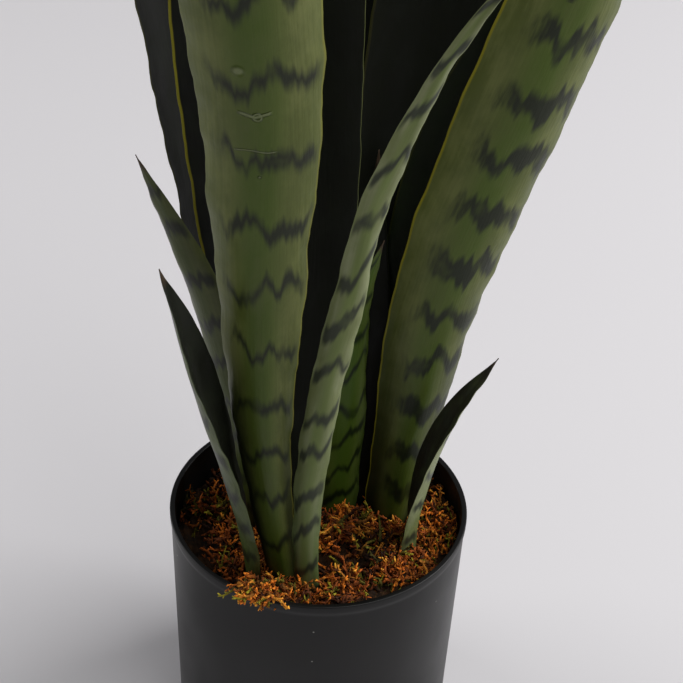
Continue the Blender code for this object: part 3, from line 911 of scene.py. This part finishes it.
def pot_material(settings):
    """Satin black plastic with a faint moulded skin, cloudy patches of handling
    and a few specks of dust."""
    b = Board("black_plastic")
    place = b.add("ShaderNodeTexCoord").outputs["Object"]
    cloud = b.noise(place, 16.0, 3.0, 0.55)
    skin = b.noise(place, 1400.0, 2.0, 0.5)
    dust = b.add("ShaderNodeTexVoronoi", {"Vector": place, "Scale": 95.0},
                 feature="F1")
    speck = b.step(dust.outputs["Distance"], 0.07, 0.03)
    chosen = b.add("ShaderNodeSeparateXYZ", {0: dust.outputs["Color"]}).outputs[0]
    speck = b.times(speck, b.step(chosen, 0.80, 0.86))
    base = settings.colour
    worn = tuple(min(1.0, c * 1.6) for c in base)
    colour = b.mix(cloud, (*base, 1.0), (*worn, 1.0))
    colour = b.mix(speck, colour, paint((150, 148, 142)))
    b.wire(colour, "Base Color")
    b.wire(b.step(cloud, 0.3, 0.7, 0.36, 0.46), "Roughness")
    b.shader.inputs["Specular IOR Level"].default_value = 0.24
    b.wire(b.bump(skin, 0.12, 0.0003), "Normal")
    return b.material


# ---------------------------------------------------------------- stage


def look_at(obj, place, target):
    """Puts a lamp at a place and points it at a target."""
    obj.location = place
    aim = Vector(target) - Vector(place)
    obj.rotation_euler = aim.to_track_quat("-Z", "Y").to_euler()


def area_lamp(name, place, target, size, power, colour):
    """A soft square lamp that the camera doesn't see."""
    light = bpy.data.lights.new(name, "AREA")
    light.shape = "RECTANGLE"
    light.size, light.size_y = size
    light.energy = power
    light.color = colour
    obj = bpy.data.objects.new(name, light)
    obj.visible_camera = False
    bpy.context.scene.collection.objects.link(obj)
    look_at(obj, place, target)


def floor_material(tone):
    """Pale matt floor with a barely uneven tone."""
    b = Board("pale_floor")
    place = b.add("ShaderNodeTexCoord").outputs["Object"]
    cloud = b.noise(place, 1.5, 2.0)
    dark = tuple(c * 0.985 for c in tone)
    b.wire(b.mix(cloud, (*dark, 1.0), (*tone, 1.0)), "Base Color")
    b.shader.inputs["Roughness"].default_value = 0.8
    b.shader.inputs["Specular IOR Level"].default_value = 0.2
    return b.material


def build_stage(settings):
    """Floor, soft studio light and the camera."""
    scene = bpy.context.scene
    n = 9
    x, y = np.meshgrid(np.linspace(-7, 7, n), np.linspace(-7, 7, n))
    grid = np.stack([x, y, np.full_like(x, -0.0004)], -1)
    a = (np.arange(n - 1)[:, None] * n + np.arange(n - 1)).ravel()
    floor = put_mesh("floor", grid, np.stack([a, a + 1, a + n + 1, a + n], 1))
    floor.data.materials.append(floor_material(settings.floor_tone))

    scene.view_settings.view_transform = "Standard"
    world = bpy.data.worlds.new("studio_air")
    scene.world = world
    world.use_nodes = True
    air = world.node_tree.nodes["Background"].inputs
    air["Color"].default_value = (0.97, 0.97, 1.0, 1.0)
    air["Strength"].default_value = settings.air
    target = (0.0, 0.0, 0.35)
    area_lamp("lamp_right", (2.9, 0.5, 1.9), target, (2.4, 3.0), settings.key * 1.5,
              (1, 0.99, 0.99))
    area_lamp("lamp_left", (-2.8, 0.8, 1.5), target, (2.0, 2.8), settings.key * 0.5,
              (1, 0.98, 0.98))
    area_lamp("lamp_top", (1.3, -1.2, 3.4), target, (2.0, 2.0), settings.key * 0.5,
              (1, 0.99, 0.98))

    data = bpy.data.cameras.new("camera")
    data.sensor_fit = "HORIZONTAL"
    data.sensor_width = 36.0
    data.lens = settings.lens
    camera = bpy.data.objects.new("camera", data)
    scene.collection.objects.link(camera)
    pitch, yaw, roll = settings.pitch, settings.yaw, settings.roll
    ahead = np.array([np.sin(yaw) * np.cos(pitch), np.cos(yaw) * np.cos(pitch),
                      -np.sin(pitch)])
    level = unit(np.cross(ahead, (0, 0, 1.0)))
    up = np.cross(level, ahead)
    right = level * np.cos(roll) + up * np.sin(roll)
    up = up * np.cos(roll) - level * np.sin(roll)
    turn = np.column_stack([right, up, -ahead])
    pose = np.eye(4)
    pose[:3, :3] = turn
    pose[:3, 3] = settings.camera_place
    camera.matrix_world = Matrix(pose.tolist())
    scene.camera = camera


# ---------------------------------------------------------------- add-on


class SnakePlantLeaves(bpy.types.PropertyGroup):
    """Sizes of the leaves."""

    fullness: bpy.props.FloatProperty(
        name="Fullness", description="Thickness of the blades against the usual one",
        default=1.0, min=0.3, max=1.3, subtype="FACTOR")


class SnakePlantMoss(bpy.types.PropertyGroup):
    """Amount of moss."""

    strands: bpy.props.IntProperty(
        name="Strands", description="Number of curled moss strands on the bed",
        default=2400, min=300, max=8000)


class SnakePlantPot(bpy.types.PropertyGroup):
    """Colour of the pot."""

    colour: bpy.props.FloatVectorProperty(
        name="Plastic", description="Colour of the pot's plastic", subtype="COLOR",
        size=3, min=0.0, max=1.0, default=(0.0026, 0.0025, 0.0023))


class SnakePlantStage(bpy.types.PropertyGroup):
    """Light, floor and camera."""

    floor_tone: bpy.props.FloatVectorProperty(
        name="Floor", description="Colour of the floor", subtype="COLOR", size=3,
        min=0.0, max=1.0, default=(0.66, 0.65, 0.665))
    air: bpy.props.FloatProperty(
        name="Air light", description="Strength of the light from all round",
        default=0.22, min=0.0, max=5.0)
    key: bpy.props.FloatProperty(
        name="Main lamp", description="Power of the main lamp", default=86.0, min=0.0,
        unit="POWER")
    lens: bpy.props.FloatProperty(
        name="Lens", description="Focal length", default=79.06, min=10.0,
        unit="CAMERA")
    pitch: bpy.props.FloatProperty(
        name="Pitch", description="How far the camera looks down",
        default=float(np.radians(34.6)), subtype="ANGLE", unit="ROTATION")
    yaw: bpy.props.FloatProperty(
        name="Yaw", description="How far the camera turns to the right",
        default=float(np.radians(0.75)), subtype="ANGLE", unit="ROTATION")
    roll: bpy.props.FloatProperty(
        name="Roll", description="How far the camera is tipped on its own line",
        default=float(np.radians(2.73)), subtype="ANGLE", unit="ROTATION")
    camera_place: bpy.props.FloatVectorProperty(
        name="Camera place", description="Where the camera stands", size=3,
        subtype="TRANSLATION", unit="LENGTH", default=(0.0, -0.6165, 0.676))


class SNAKE_OT_pot(bpy.types.Operator):
    """Build the black pot"""

    bl_idname = "snake_plant.pot"
    bl_label = "Pot"

    def execute(self, context):
        build_pot(context.scene.snake_plant_pot)
        return {"FINISHED"}


class SNAKE_OT_moss(bpy.types.Operator):
    """Build the soil's finish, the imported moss, its loose strands and the rim tuft"""

    bl_idname = "snake_plant.moss"
    bl_label = "Moss and soil"

    def execute(self, context):
        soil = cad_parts["potting_soil"]
        soil.data.materials.clear()
        soil.data.materials.append(soil_material())
        build_moss_bed()
        build_rim_tuft(build_moss_strands(context.scene.snake_plant_moss))
        return {"FINISHED"}


class SNAKE_OT_leaves(bpy.types.Operator):
    """Build every leaf with its bands and margins"""

    bl_idname = "snake_plant.leaves"
    bl_label = "Leaves"

    def execute(self, context):
        for seed, (name, leaf) in enumerate(LEAVES.items(), 1):
            build_leaf(name, leaf, seed, context.scene.snake_plant_leaves)
        return {"FINISHED"}


class SNAKE_OT_stage(bpy.types.Operator):
    """Build the floor, the light and the camera"""

    bl_idname = "snake_plant.stage"
    bl_label = "Stage"

    def execute(self, context):
        build_stage(context.scene.snake_plant_stage)
        return {"FINISHED"}


class SNAKE_PT_panel(bpy.types.Panel):
    """Snake plant builders and their settings"""

    bl_idname = "SNAKE_PT_panel"
    bl_label = "Snake Plant"
    bl_space_type = "VIEW_3D"
    bl_region_type = "UI"
    bl_category = "Snake Plant"

    def draw(self, context):
        scene = context.scene
        layout = self.layout
        layout.operator("snake_plant.pot")
        layout.prop(scene.snake_plant_pot, "colour")
        layout.operator("snake_plant.moss")
        layout.prop(scene.snake_plant_moss, "strands")
        layout.operator("snake_plant.leaves")
        layout.prop(scene.snake_plant_leaves, "fullness")
        layout.operator("snake_plant.stage")
        for key in ("floor_tone", "air", "key", "lens", "pitch", "yaw", "roll",
                    "camera_place"):
            layout.prop(scene.snake_plant_stage, key)


GROUPS = {
    "snake_plant_leaves": SnakePlantLeaves,
    "snake_plant_moss": SnakePlantMoss,
    "snake_plant_pot": SnakePlantPot,
    "snake_plant_stage": SnakePlantStage,
}
CLASSES = (*GROUPS.values(), SNAKE_OT_pot, SNAKE_OT_moss, SNAKE_OT_leaves,
           SNAKE_OT_stage, SNAKE_PT_panel)


def register():
    for cls in CLASSES:
        bpy.utils.register_class(cls)
    for name, group in GROUPS.items():
        setattr(bpy.types.Scene, name, bpy.props.PointerProperty(type=group))


def unregister():
    for name in GROUPS:
        delattr(bpy.types.Scene, name)
    for cls in reversed(CLASSES):
        bpy.utils.unregister_class(cls)


def main():
    register()
    bpy.ops.snake_plant.pot()
    bpy.ops.snake_plant.moss()
    bpy.ops.snake_plant.leaves()
    bpy.ops.snake_plant.stage()


if __name__ == "__main__":
    main()
